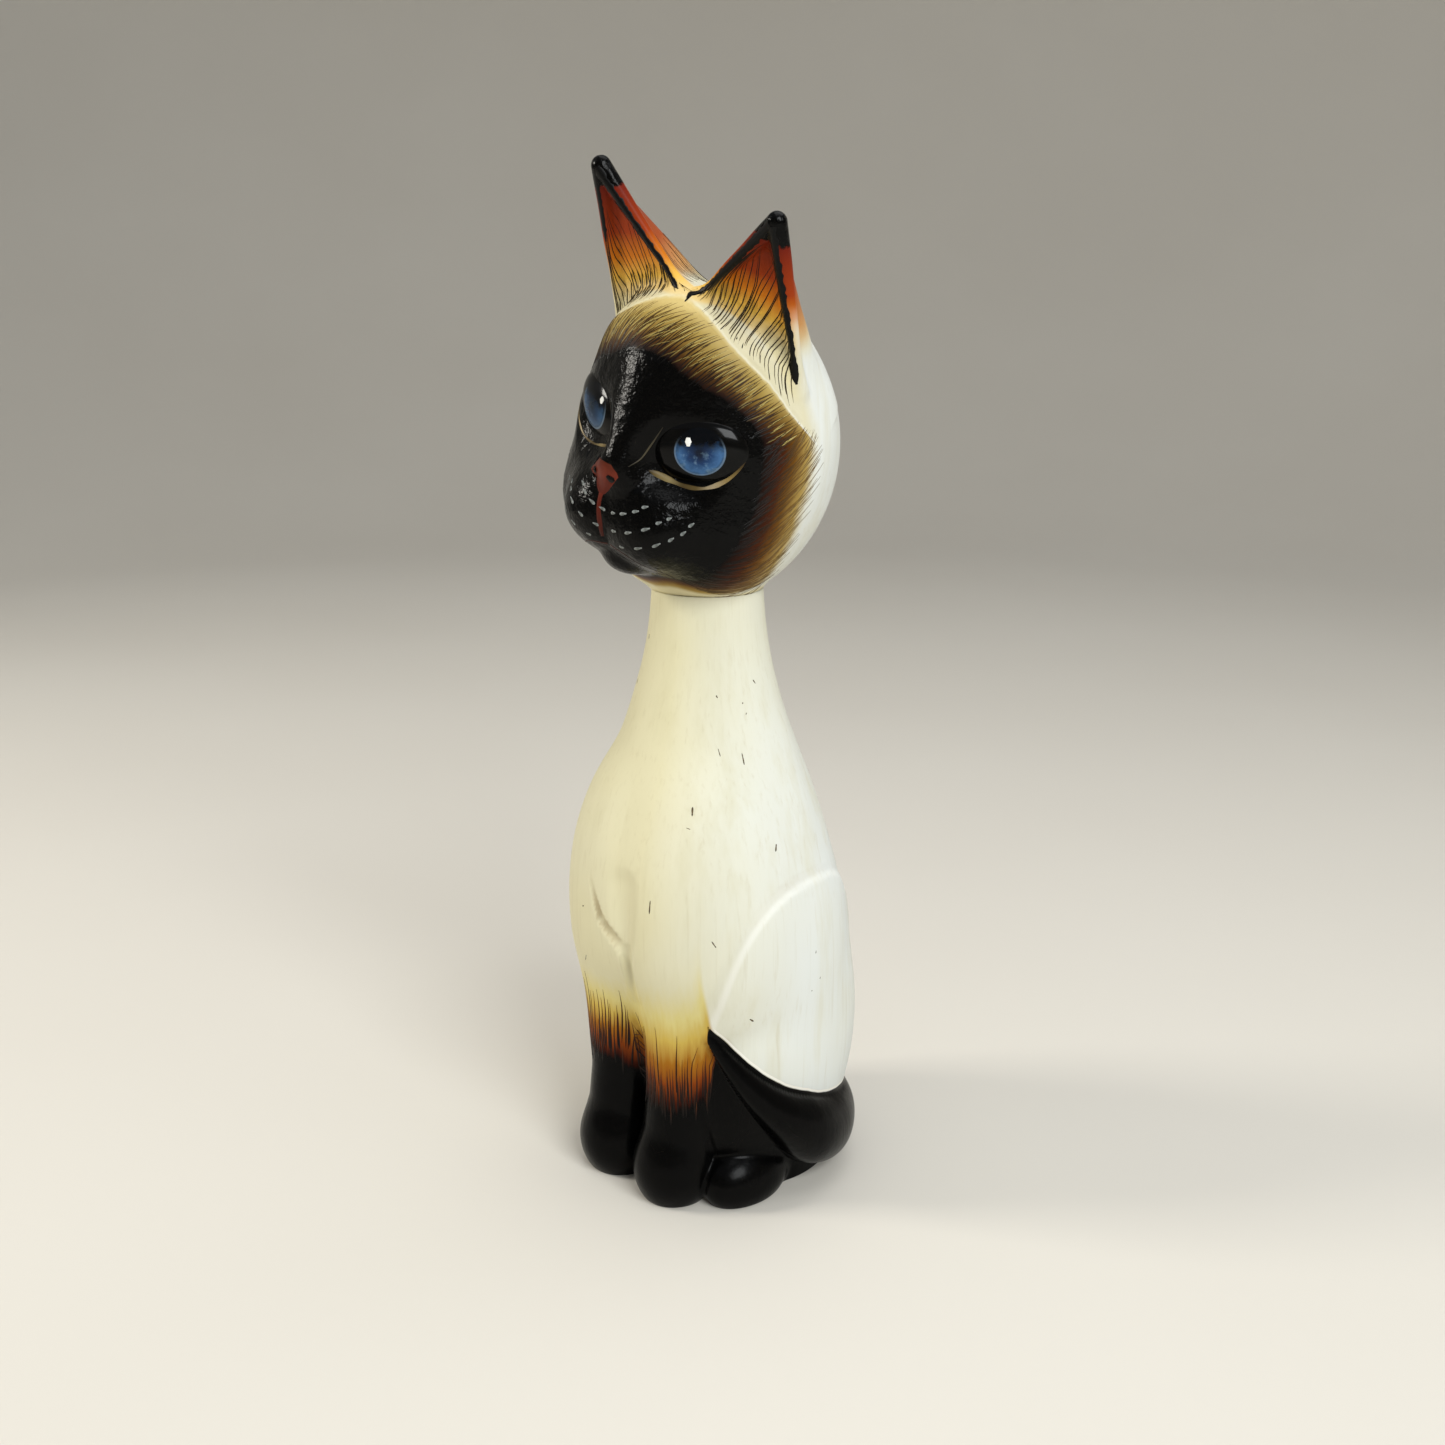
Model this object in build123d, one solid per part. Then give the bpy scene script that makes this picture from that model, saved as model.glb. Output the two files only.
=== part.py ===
from build123d import *

import os
from math import asin, cos, pi, sin

# A sitting Siamese cat carved in light wood, made as two blocks joined by a dowel.
#
# The body block holds the neck, torso, front legs, haunches, feet and the tail that wraps round its left
# side.
# The head block holds the skull, face and ears, and sits tilted on the flat top of the neck.
# A glued hardwood dowel in two blind bores joins them.
#
# Millimetres, +Z up. The cat faces -Y, its left side is +X. The origin is on the floor, under the neck's
# axis.

# Neck and torso: ellipses up the body, from the floor to the flat top of the neck.
neck_top = 182.0
neck_radius = 16.4
neck_lean = -2.8  # how far the neck's axis stands in front of the origin, along Y
belly_half_width = 39.5
belly_half_depth = 41.5
# (share of the neck's height, share of the belly's swell, share of the lean)
torso_stations = [
    (0.00, 0.70, -1.10),
    (0.12, 0.80, -1.05),
    (0.25, 0.88, -0.90),
    (0.38, 0.98, -0.15),
    (0.49, 0.97, 0.45),
    (0.58, 0.84, 0.90),
    (0.66, 0.66, 1.05),
    (0.74, 0.45, 1.10),
    (0.82, 0.24, 1.10),
    (0.90, 0.09, 1.05),
    (1.00, 0.00, 1.00),
]

# Front legs: an oval shoulder in each side of the chest, and a tapered leg down to a rounded paw.
shoulder_radii = (20.0, 19.0, 38.0)
shoulder_spacing = 30.0
shoulder_forward = 19.0
shoulder_height = 90.0
elbow_height = 78.0
elbow_radius = 17.5
ankle_height = 8.0
ankle_radius = 12.0
ankle_spacing = 25.0
ankle_forward = 29.0
paw_radii = (12.3, 12.0, 11.5)
paw_forward = 30.5
paw_height = 7.0

# Hind legs: an oval haunch on each flank, and a long foot in front of it.
haunch_radii = (18.5, 30.0, 46.0)
haunch_spacing = 41.0
haunch_back = 8.0
haunch_height = 46.0
haunch_tilt = -6.0  # degrees about X
foot_radii = (10.5, 16.0, 11.0)
foot_spacing = 54.0
foot_forward = 14.0
foot_height = 6.0

# Tail: round in section, it follows a circle round the haunches, and its flattened tip rises between haunch
# and leg. Angles run round the circle from straight back, towards the left, and the start lies in the torso.
tail_ring_radius = 33.0
tail_ring_side = 4.0
tail_ring_forward = 2.0
tail_radius = 9.8
tail_height = 10.5
tail_start = -30.0
tail_end = 136.0
tail_sections = 14
tail_lift = 45.0
tail_lift_from = 50.0
tail_lift_power = 2.6
tail_taper_from = 88.0
tail_taper_power = 1.6
tail_tip_height_share = 0.30  # the tip's height and width, as shares of the tail's
tail_tip_width_share = 0.15

# Head: skull, snout and chin in the head's own frame, which is then turned and set on the neck.
skull_radii = (38.0, 38.0, 45.0)
skull_centre = (0.0, 2.5, -3.0)
head_rise = 42.5  # from the neck's top to the head frame's origin
stem_radius = 8.0  # the solid wood inside the head, straight above the neck
head_side = -1.5
head_forward = 3.0
head_turn = 7.0  # degrees: turn to the cat's left, nod, and lean to the cat's left
head_nod = 9.0
head_lean = 13.5
snout_radii = (19.0, 19.0, 15.0)
snout_centre = (0.0, -20.0, -15.0)
pad_radii = (10.0, 10.0, 9.0)
pad_spacing = 16.4
pad_forward = 31.0
pad_drop = 16.0
chin_radii = (9.0, 9.0, 6.5)
chin_centre = (0.0, -27.0, -25.5)
bridge_top = (0.0, -27.0, 18.0)
bridge_tip = (0.0, -35.5, 1.0)
bridge_top_radius = 7.5
bridge_tip_radius = 5.5
eye_radius = 12.0
eye_spacing = 27.0
eye_forward = 21.0
eye_rise = 8.5

# Ears: four-sided, tapering from a foot in the skull to a blunt tip. The left ear's foot lies on a plane at
# ear_foot, whose X runs out along the ear's front edge and whose Z is the way the foot faces.
ear_foot = (3.0, -13.0, 41.5)
ear_front_edge = (32.0, 10.0, -19.0)
ear_facing = (0.536, -0.029, 0.843)
ear_width = 38.0
ear_depth = 25.0
ear_outer_depth = 17.0
ear_corner_round = 2.5
ear_height = 38.0
ear_tip_out = 3.0
ear_tip_forward = 4.0
ear_tip_share = 0.10  # the blunt tip's size and the root's, as shares of the foot's
ear_root_share = 0.55
ear_root_depth = 26.0

# Neck joint: one dowel, half in each block.
dowel_radius = 5.0
dowel_length = 50.0
dowel_chamfer = 1.0
bore_clearance = 0.1  # on the radius, filled with glue
bore_end_gap = 0.5


def ellipsoid(radii, centre):
    """A unit ball stretched to three radii and moved to its centre."""
    return Pos(*centre) * scale(Sphere(1), by=radii)


def rounded_cone(start, end, start_radius, end_radius):
    """Two balls and the cone that touches both all round, made as one solid of revolution."""
    run = Vector(*end) - Vector(*start)
    slope = asin((start_radius - end_radius) / run.length)
    low = (start_radius * cos(slope), start_radius * sin(slope))
    high = (end_radius * cos(slope), run.length + end_radius * sin(slope))
    bottom = (0, -start_radius)
    top = (0, run.length + end_radius)
    side = (start_radius * cos(slope / 2 - pi / 4), start_radius * sin(slope / 2 - pi / 4))
    cap = (end_radius * cos(slope / 2 + pi / 4), run.length + end_radius * sin(slope / 2 + pi / 4))
    outline = Curve() + [
        ThreePointArc(bottom, side, low),
        Line(low, high),
        ThreePointArc(high, cap, top),
        Line(top, bottom),
    ]
    half = make_face(Plane.XZ * outline)
    return Plane(origin=start, z_dir=run) * revolve(half, Axis.Z)


def both_sides(make):
    """The same piece on the left and on the right, for a function of the side's sign."""
    return [make(+1), make(-1)]


def make_torso():
    """A smooth loft through ellipses that swell from the neck to the belly and lean with the spine."""
    sections = []
    for height, swell, lean in torso_stations:
        half_width = neck_radius + (belly_half_width - neck_radius) * swell
        half_depth = neck_radius + (belly_half_depth - neck_radius) * swell
        place = Plane(origin=(0, neck_lean * lean, neck_top * height), x_dir=(0, 1, 0), z_dir=(0, 0, 1))
        sections.append(place * Ellipse(half_depth, half_width))
    return loft(sections)


def make_front_leg(side):
    """An oval shoulder, a leg that tapers from elbow to ankle, and a round paw."""
    shoulder = ellipsoid(shoulder_radii, (side * shoulder_spacing / 2, -shoulder_forward, shoulder_height))
    elbow = (side * shoulder_spacing / 2, -shoulder_forward, elbow_height)
    ankle = (side * ankle_spacing / 2, -ankle_forward, ankle_height)
    paw = ellipsoid(paw_radii, (side * ankle_spacing / 2, -paw_forward, paw_height))
    return shoulder + rounded_cone(elbow, ankle, elbow_radius, ankle_radius) + paw


def make_hind_leg(side):
    """An oval haunch, tilted about X, and the foot before it."""
    haunch = Rot(haunch_tilt, 0, 0) * scale(Sphere(1), by=haunch_radii)
    haunch = Pos(side * haunch_spacing / 2, haunch_back, haunch_height) * haunch
    return haunch + ellipsoid(foot_radii, (side * foot_spacing / 2, -foot_forward, foot_height))


def share_past(angle, begin, power):
    """How far an angle is past the one where a change begins, from 0 to 1 at the tail's end, to a power."""
    return max(0.0, (angle - begin) / (tail_end - begin)) ** power


def make_tail():
    """A straight-sided loft through upright ovals, each on the plane that runs through the circle's axis at its angle."""
    sections = []
    for index in range(tail_sections):
        angle = tail_start + (tail_end - tail_start) * index / (tail_sections - 1)
        lift = tail_lift * share_past(angle, tail_lift_from, tail_lift_power)
        taper = share_past(angle, tail_taper_from, tail_taper_power)
        half_width = tail_radius * (1 - (1 - tail_tip_width_share) * taper)
        half_height = tail_radius * (1 - (1 - tail_tip_height_share) * taper)
        turn = angle * pi / 180
        x = tail_ring_side + tail_ring_radius * sin(turn)
        y = -tail_ring_forward + tail_ring_radius * cos(turn)
        along = (cos(turn), -sin(turn), 0)
        place = Plane(origin=(x, y, tail_height + lift), x_dir=(0, 0, 1), z_dir=along)
        sections.append(place * Ellipse(half_height, half_width))
    return loft(sections, ruled=True)


def dowel_bore(above, below):
    """The hole for the dowel on the neck's axis, from the neck's top up and down."""
    length = above + below
    centre = (0, neck_lean, neck_top + (above - below) / 2)
    return Pos(*centre) * Cylinder(dowel_radius + bore_clearance, length)


def make_body():
    """The lower block, cut flat at the floor and at the neck's top, and bored for the dowel."""
    body = make_torso()
    for piece in both_sides(make_front_leg) + both_sides(make_hind_leg) + [make_tail()]:
        body = body + piece
    reach = 2 * neck_top
    under_floor = Pos(0, 0, -reach / 2) * Box(reach, reach, reach)
    above_neck = Pos(0, 0, neck_top + reach / 2) * Box(reach, reach, reach)
    bore = dowel_bore(bore_end_gap, dowel_length / 2 + bore_end_gap)
    return body - under_floor - above_neck - bore


def make_ear(side):
    """A straight-sided loft through the root, foot and tip: one outline with round corners, at three sizes."""
    foot = Plane(origin=ear_foot, x_dir=ear_front_edge, z_dir=ear_facing)
    corners = [(0, 0), (ear_width, 0), (ear_width, ear_outer_depth), (ear_width / 2, ear_depth)]
    outline = make_face(Polyline(*corners, close=True))
    outline = fillet(outline.vertices(), ear_corner_round)
    middle = outline.center()
    stations = [
        (-ear_root_depth, ear_root_share, (middle.X, middle.Y)),
        (0, 1, (0, 0)),
        (ear_height, ear_tip_share, (ear_tip_out, -ear_tip_forward)),
    ]
    sections = []
    for height, share, shrink_to in stations:
        x, y = shrink_to
        place = Pos(x * (1 - share), y * (1 - share), height)
        sections.append(foot * place * scale(outline, by=share))
    ear = loft(sections, ruled=True)
    return ear if side > 0 else mirror(ear, about=Plane.YZ)


def make_eye(side):
    """An eyeball sunk in the skull, so that only its front shows as a low dome."""
    return Pos(side * eye_spacing / 2, -eye_forward, eye_rise) * Sphere(eye_radius)


def make_pad(side):
    """The swelling beside the nose that the whiskers grow from."""
    return ellipsoid(pad_radii, (side * pad_spacing / 2, -pad_forward, -pad_drop))


def make_head():
    """The upper block, shaped upright, turned, then joined by its stem to the neck and bored for the dowel."""
    head = ellipsoid(skull_radii, skull_centre)
    head += ellipsoid(snout_radii, snout_centre)
    head += ellipsoid(chin_radii, chin_centre)
    head += rounded_cone(bridge_tip, bridge_top, bridge_tip_radius, bridge_top_radius)
    for piece in both_sides(make_pad) + both_sides(make_eye) + both_sides(make_ear):
        head += piece
    turned = Rot(0, 0, head_turn) * Rot(head_nod, 0, 0) * Rot(0, head_lean, 0)
    head = Pos(head_side, -head_forward, neck_top + head_rise) * turned * head
    reach = 2 * neck_top
    head -= Pos(0, 0, neck_top - reach / 2) * Box(reach, reach, reach)
    head += Pos(0, neck_lean, neck_top + head_rise / 2) * Cylinder(stem_radius, head_rise)
    return head - dowel_bore(dowel_length / 2 + bore_end_gap, bore_end_gap)


def make_dowel():
    """The dowel, centred on the joint, with its ends chamfered."""
    dowel = Pos(0, neck_lean, neck_top) * Cylinder(dowel_radius, dowel_length)
    return chamfer(dowel.edges().filter_by(GeomType.CIRCLE), dowel_chamfer)


if __name__ == "__main__":
    os.makedirs("parts", exist_ok=True)
    for name, make in (("body", make_body), ("head", make_head), ("neck_dowel", make_dowel)):
        export_step(make(), f"parts/{name}.step")
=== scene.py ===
import bpy
import numpy as np
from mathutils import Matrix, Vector


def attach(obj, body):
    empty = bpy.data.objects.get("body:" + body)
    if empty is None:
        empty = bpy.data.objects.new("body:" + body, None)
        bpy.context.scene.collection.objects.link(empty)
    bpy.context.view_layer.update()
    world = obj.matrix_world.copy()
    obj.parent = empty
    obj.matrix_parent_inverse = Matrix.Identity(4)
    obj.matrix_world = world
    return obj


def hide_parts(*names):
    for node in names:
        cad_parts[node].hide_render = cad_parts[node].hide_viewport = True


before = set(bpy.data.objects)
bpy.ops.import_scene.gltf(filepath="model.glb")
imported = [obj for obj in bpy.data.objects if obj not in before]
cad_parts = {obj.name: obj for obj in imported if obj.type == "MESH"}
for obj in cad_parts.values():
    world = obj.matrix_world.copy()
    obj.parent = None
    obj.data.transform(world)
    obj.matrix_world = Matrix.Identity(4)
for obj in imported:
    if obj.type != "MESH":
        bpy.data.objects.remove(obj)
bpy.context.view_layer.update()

# ------------------------------
# Body block. One piece of light wood holds the neck, torso, legs, feet and the tail that wraps round the
# left side. It is carved with knives, sanded, and painted satin cream by brush, with glossy black feet
# and tail. Lengths here and below are in millimetres until a mesh is made.
# ------------------------------
MM = 0.001
FINE = 1.0  # share of the full number of grid rows and columns
NECK = (0.0, -2.8)
NECK_TOP = 182.0
BORE_RADIUS = 5.1
BORE_FLOOR = 156.5

# Torso: half widths, half depths and middle line at heights above the floor.
TORSO_HEIGHT = [0, 15, 30, 45, 60, 75, 90, 105, 120, 135, 150, 165, 182, 200]
TORSO_WIDE = [33, 35, 36, 37.3, 38.8, 39.3, 38.4, 35.8, 32.0, 27, 22, 18.3, 16.4, 16.2]
TORSO_DEEP = [31, 32, 32.5, 34.5, 38.5, 41.5, 41, 38, 33, 27.3, 22.2, 18.4, 16.4, 16.2]
TORSO_MIDDLE = [6, 6, 6.5, 6, 3.2, 0.2, -1.2, -2.5, -3, -3.2, -3.2, -3, -2.8, -2.8]

# Tail: it follows a ring round the haunches and its tip rises between haunch and leg.
TAIL_CENTRE = (4.0, -2.0)
TAIL_RING = 33.3
TAIL_ENDS = (-30.0, 140.5)  # degrees from straight back, towards the left
TAIL_HEIGHT = 13.4
TAIL_LIFT = 43.8
TAIL_STRAY = 3.2  # how far its tip swings out of the ring
TAIL_WIDTH = 10.0
TAIL_DEPTH = 12.0
TAIL_CLIMB = (45, 2.35)  # the angle where it starts to rise, and the power of the way that it rises by
TAIL_THINS = 85  # the angle where it starts to thin

OUTSIDE_BODY = 64.0  # a distance from the neck's axis that clears the body
THIGH_HALF_LENGTH = 33.5
THIGH_RISE = 41.0

# Cuts that part the chest from the legs and leg from leg: two ends, the radius at each, and the fillet.
CHEST_CUTS = [
    ((-10.8, -42.3, 100), (-5, -43.2, 88), 0.7, 1.7, 0.8),
    ((-5, -43.2, 88), (5.2, -42.9, 79.5), 1.7, 2.0, 0.8),
    ((5.0, -44.4, 80), (4.5, -50, 101), 3.2, 9.6, 1.6),
    ((5.2, -42.7, 81), (4.6, -39.8, 62), 2.2, 2.6, 0.9),
    ((4.6, -39.8, 62), (1.8, -39.6, 46), 2.6, 4.0, 1.2),
    ((1.5, -40.5, 46), (1.0, -43.5, 5), 4.0, 6.0, 1.5),
]


def blend(a, b, reach):
    """The smaller of two distances, with a fillet where they are nearer to each other than reach."""
    share = np.clip(0.5 + 0.5 * (b - a) / reach, 0, 1)
    return b + (a - b) * share - reach * share * (1 - share)


def carve(a, b, reach):
    """What is left of a when b is cut from it: the larger of a and minus b, rounded over reach."""
    return -blend(-a, b, reach)


def turned(yaw=0.0, nod=0.0, lean=0.0):
    """A matrix that leans about Y, then nods about X, then turns about Z, in degrees."""
    a, b, c = np.radians([yaw, nod, lean])
    about_z = np.array([[np.cos(a), -np.sin(a), 0], [np.sin(a), np.cos(a), 0], [0, 0, 1]])
    about_x = np.array([[1, 0, 0], [0, np.cos(b), -np.sin(b)], [0, np.sin(b), np.cos(b)]])
    about_y = np.array([[np.cos(c), 0, np.sin(c)], [0, 1, 0], [-np.sin(c), 0, np.cos(c)]])
    return about_z @ about_x @ about_y


def oval(p, centre, radii, turn=None):
    """About the distance to an ellipsoid: its scaled length less one, over that length's slope."""
    q = p - np.array(centre, float)
    if turn is not None:
        q = q @ turn
    radii = np.array(radii, float)
    length = np.linalg.norm(q / radii, axis=-1)
    slope = np.linalg.norm(q / radii**2, axis=-1)
    return length * (length - 1) / np.maximum(slope, 1e-9)


def limb(p, a, b, radius_a, radius_b):
    """The distance to a round limb that tapers from a to b: to the ball on its line that is nearest."""
    a, b = np.array(a, float), np.array(b, float)
    length = np.linalg.norm(b - a)
    along = (p - a) @ (b - a) / length
    out = np.sqrt(np.maximum(((p - a) ** 2).sum(-1) - along**2, 0))
    slope = (radius_a - radius_b) / length
    foot = np.clip(along - out * slope / np.sqrt(1 - slope**2), 0, length)
    return np.hypot(out, along - foot) - (radius_a - slope * foot)


def through(x, knots, values):
    """A smooth curve through knots: cubics whose slope at each knot is that of its neighbours' chord."""
    knots, values = np.array(knots, float), np.array(values, float)
    slope = np.gradient(values, knots)
    i = np.clip(np.searchsorted(knots, x) - 1, 0, len(knots) - 2)
    step = knots[i + 1] - knots[i]
    t = np.clip((x - knots[i]) / step, 0, 1)
    rise = 3 * t**2 - 2 * t**3
    return (
        values[i] + (values[i + 1] - values[i]) * rise
        + step * (slope[i] * t * (1 - t) ** 2 - slope[i + 1] * t**2 * (1 - t))
    )


def mirrored(p):
    """Points with their X made positive, so that a left shape serves both sides."""
    return np.stack([np.abs(p[..., 0]), p[..., 1], p[..., 2]], -1)


def torso(p):
    """The distance to an upright tube of ellipses, whose size and middle are curves of the height."""
    z = np.clip(p[..., 2], 0, 200)
    wide, deep = through(z, TORSO_HEIGHT, TORSO_WIDE), through(z, TORSO_HEIGHT, TORSO_DEEP)
    y = p[..., 1] - through(z, TORSO_HEIGHT, TORSO_MIDDLE)
    return (np.hypot(p[..., 0] / wide, y / deep) - 1) * np.minimum(wide, deep)


def tail_line(p):
    """X and Y from the middle of the tail's ring, the angle round it, and a function that gives the share
    of the way from an angle to the tip: 0 before that angle, 1 at the tip."""
    x, y = p[..., 0] - TAIL_CENTRE[0], p[..., 1] - TAIL_CENTRE[1]
    angle = np.clip(np.degrees(np.arctan2(x, y)), *TAIL_ENDS)
    return x, y, angle, lambda begin: np.clip((angle - begin) / (TAIL_ENDS[1] - begin), 0, 1)


def tail_lift(p):
    """The height of the tail's middle above the floor, level with each point."""
    begin, power = TAIL_CLIMB
    return TAIL_HEIGHT + TAIL_LIFT * tail_line(p)[3](begin) ** power


def tail(p):
    """The distance to an oval that runs round a ring, rises as a power of its angle and thins to a tip."""
    x, y, angle, past = tail_line(p)
    ring = TAIL_RING + TAIL_STRAY * past(95) ** 2
    out = np.hypot(x - ring * np.sin(np.radians(angle)), y - ring * np.cos(np.radians(angle)))
    half_width = TAIL_WIDTH * (1 - 0.86 * past(TAIL_THINS) ** 1.6)
    half_depth = TAIL_DEPTH * (1 - 0.78 * past(TAIL_THINS) ** 1.4)
    begin, power = TAIL_CLIMB
    climb = TAIL_LIFT * power * past(begin) ** (power - 1) / (TAIL_RING * np.radians(TAIL_ENDS[1] - begin))
    shrink = np.sqrt(1 + (climb * half_width / half_depth) ** 2)
    round_it = np.hypot(out / half_width, (p[..., 2] - tail_lift(p)) / half_depth)
    return (round_it - 1) * np.minimum(half_width, half_depth) / shrink


def front_leg(p):
    """A leg on each side that tapers from elbow to ankle, with its shin below."""
    q = mirrored(p)
    upper = limb(q, (13.8, -20.6, 76), (12.6, -26.0, 34), 17.0, 11.1)
    return blend(upper, limb(q, (12.6, -26.0, 34), (12.4, -29.0, 12), 11.1, 11.2), 0.5)


def hind_leg(p):
    """The oval haunches, each side its own size."""
    q = mirrored(p)
    left = oval(q, (22, 3.5, 44), (17.8, 33, 50), turned(nod=-6))
    right = oval(q, (21.5, 7.5, 44), (17.8, 29, 49), turned(nod=-6))
    return np.where(p[..., 0] > 0, left, right)


def thigh_reach(p):
    """Under 1 inside the round-topped outline of the raised haunch, over 1 outside it."""
    along = np.abs(p[..., 1] - 2) / THIGH_HALF_LENGTH
    return (along**2.5 + (np.maximum(p[..., 2] - 60, 0) / THIGH_RISE) ** 2.5) ** 0.4


def body_without_tail(p):
    """Shoulders, legs, paws, haunches and hind feet joined to the torso, each with its own fillet."""
    q = mirrored(p)
    shape = blend(torso(p), oval(q, (14.8, -18.3, 88), (19.6, 19, 42)), 12)
    shape = blend(shape, carve(shape - 1.5, -THIGH_HALF_LENGTH * (thigh_reach(p) - 1), 3.0), 1.2)
    shape = blend(shape, front_leg(p), 4)
    for a, b, radius_a, radius_b, reach in CHEST_CUTS:
        shape = carve(shape, limb(p, a, b, radius_a, radius_b), reach)
    shape = blend(shape, oval(q, (12.4, -30, 9), (12.5, 12.5, 14)), 4)
    shape = blend(shape, hind_leg(p), 1.6)
    left_foot = oval(q, (27, -14, 6), (10.5, 16, 11))
    right_foot = oval(q, (26, -13, 8), (11.5, 17, 14))
    return blend(shape, np.where(p[..., 0] > 0, left_foot, right_foot), 1.5)


def knife_marks(p):
    """Shallow waves left by the knife: a product of two sines and a third, about 0.1 mm high in all."""
    x, y, z = p[..., 0], p[..., 1], p[..., 2]
    waves = 0.09 * np.sin(x / 5.3 + z / 17) * np.sin(y / 4.7 - z / 13)
    return waves + 0.05 * np.sin(x / 2.9 - y / 3.3 + z / 8)


def body_shape(p):
    """The whole body block, cut flat where the head sits."""
    shape = blend(body_without_tail(p), tail(p), 0.8) + knife_marks(p)
    return np.maximum(shape, p[..., 2] - NECK_TOP)


def facing(p, field):
    """The way a surface faces: the slope of its distance field, to length one."""
    step = 0.04
    slope = np.stack([field(p + step * axis) - field(p - step * axis) for axis in np.eye(3)], -1)
    return slope / np.maximum(np.linalg.norm(slope, axis=-1, keepdims=True), 1e-9)


def march(start, toward, field, steps=36):
    """Where lines from start first meet a surface, going the distance that the field gives each time."""
    gone = np.zeros(start.shape[:-1])
    for _ in range(steps):
        gone = gone + 0.92 * field(start + gone[..., None] * toward)
    return start + gone[..., None] * toward


def settle(p, field, steps=5, share=1.0):
    """Points moved onto a surface along the way that it faces, by a share of what is left each time."""
    for _ in range(steps):
        p = p - share * field(p)[..., None] * facing(p, field)
    return p


def show(name, points, faces, normals=None):
    """A smooth mesh object at the origin from points in millimetres and a list of faces."""
    mesh = bpy.data.meshes.new(name)
    mesh.from_pydata((points * MM).tolist(), [], faces)
    mesh.polygons.foreach_set("use_smooth", np.ones(len(mesh.polygons), bool))
    if normals is not None:
        mesh.normals_split_custom_set_from_vertices(normals.tolist())
    made = bpy.data.objects.new(name, mesh)
    bpy.context.scene.collection.objects.link(made)
    return made


def ring_faces(rows, columns, first=0):
    """Faces of a closed skin: a point, rings of points each closed on itself, and a last point."""
    ring = first + 1 + np.arange(rows * columns).reshape(rows, columns)
    after = np.roll(ring, -1, 1)
    quads = np.stack([ring[:-1], after[:-1], after[1:], ring[1:]], -1).reshape(-1, 4)
    last = first + 1 + rows * columns
    start = [(first, b, a) for a, b in zip(ring[0], after[0])]
    end = [(last, a, b) for a, b in zip(ring[-1], after[-1])]
    return quads.tolist() + start + end


def note(piece, name, values):
    """Keeps a number for each point of a piece, for its paint to read."""
    layer = piece.data.attributes.new(name, "FLOAT", "POINT")
    layer.data.foreach_set("value", np.asarray(values, np.float32).ravel())


def tone(code):
    """A colour from its six-digit code, made linear."""
    part = np.array([int(code[i:i + 2], 16) / 255 for i in (0, 2, 4)])
    part = np.where(part > 0.04045, ((part + 0.055) / 1.055) ** 2.4, part / 12.92)
    return (*part.tolist(), 1.0)


def operator(operation, back=False):
    """A method that adds a Math node of its own number and others, which come first if back is set."""

    def method(self, *others):
        values = (*others, self) if back else (self, *others)
        return self.paint.node("Math", {"operation": operation}, dict(enumerate(values)))

    return method


class Num:
    """A socket's number in an expression. Each operator adds its Math node."""

    def __init__(self, paint, socket):
        self.paint, self.socket = paint, socket

    __add__ = __radd__ = operator("ADD")
    __sub__, __rsub__ = operator("SUBTRACT"), operator("SUBTRACT", back=True)
    __mul__ = __rmul__ = operator("MULTIPLY")
    least, most, size = operator("MINIMUM"), operator("MAXIMUM"), operator("ABSOLUTE")

    def __neg__(self):
        return self * -1

    def between(self, low, high):
        """0 at low, 1 at high, eased in and out."""
        smooth = {"interpolation_type": "SMOOTHSTEP"}
        return self.paint.node("MapRange", smooth, {0: self, 1: low, 2: high})


class Paint:
    """A material whose nodes all come from one method."""

    def __init__(self, name):
        self.material = bpy.data.materials.new(name)
        self.material.use_nodes = True
        self.tree = self.material.node_tree
        self.shader = self.tree.nodes["Principled BSDF"]
        self.place = self.node("TexCoord", {}, {}, "Object")

    def node(self, kind, settings, sockets, out=0):
        """A node: its settings first, then its sockets' values or links. Gives one of its outputs."""
        made = self.tree.nodes.new("ShaderNode" + kind)
        for key, value in settings.items():
            if key == "stops":
                while len(made.color_ramp.elements) < len(value):
                    made.color_ramp.elements.new(1.0)
                for element, (spot, colour) in zip(made.color_ramp.elements, value):
                    element.position, element.color = spot, tone(colour)
            else:
                setattr(made, key, value)
        for key, value in sockets.items():
            self.feed(made.inputs[key], value)
        return Num(self, made.outputs[out])

    def feed(self, socket, value):
        """Links a wrapped socket, or sets a colour from its six-digit code or a plain value."""
        if isinstance(value, Num):
            self.tree.links.new(value.socket, socket)
        elif isinstance(value, str):
            socket.default_value = tone(value)
        else:
            socket.default_value = value

    def number(self, name):
        return self.node("Attribute", {"attribute_name": name}, {}, "Fac")

    def noise(self, scale, detail=2.0, rough=0.5):
        """Noise on the object's own coordinates: so many waves per metre, the same or not along each axis."""
        place = self.node("Mapping", {}, {"Vector": self.place, "Scale": np.broadcast_to(scale, 3).tolist()})
        sockets = {"Vector": place, "Scale": 1.0, "Detail": detail, "Roughness": rough}
        return self.node("TexNoise", {}, sockets)

    def mix(self, share, a, b):
        return self.node("Mix", {"data_type": "RGBA"}, {0: share, 6: a, 7: b}, 2)

    def ramp(self, share, stops):
        return self.node("ValToRGB", {"stops": stops}, {0: share}, 0)

    def bump(self, height, distance, strength):
        return self.node("Bump", {}, {"Height": height, "Distance": distance, "Strength": strength})

    def finish(self, **sockets):
        """Feeds the shader: words of a socket's name are joined by underlines."""
        for key, value in sockets.items():
            self.feed(self.shader.inputs[key.replace("_", " ")], value)
        return self.material


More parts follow.
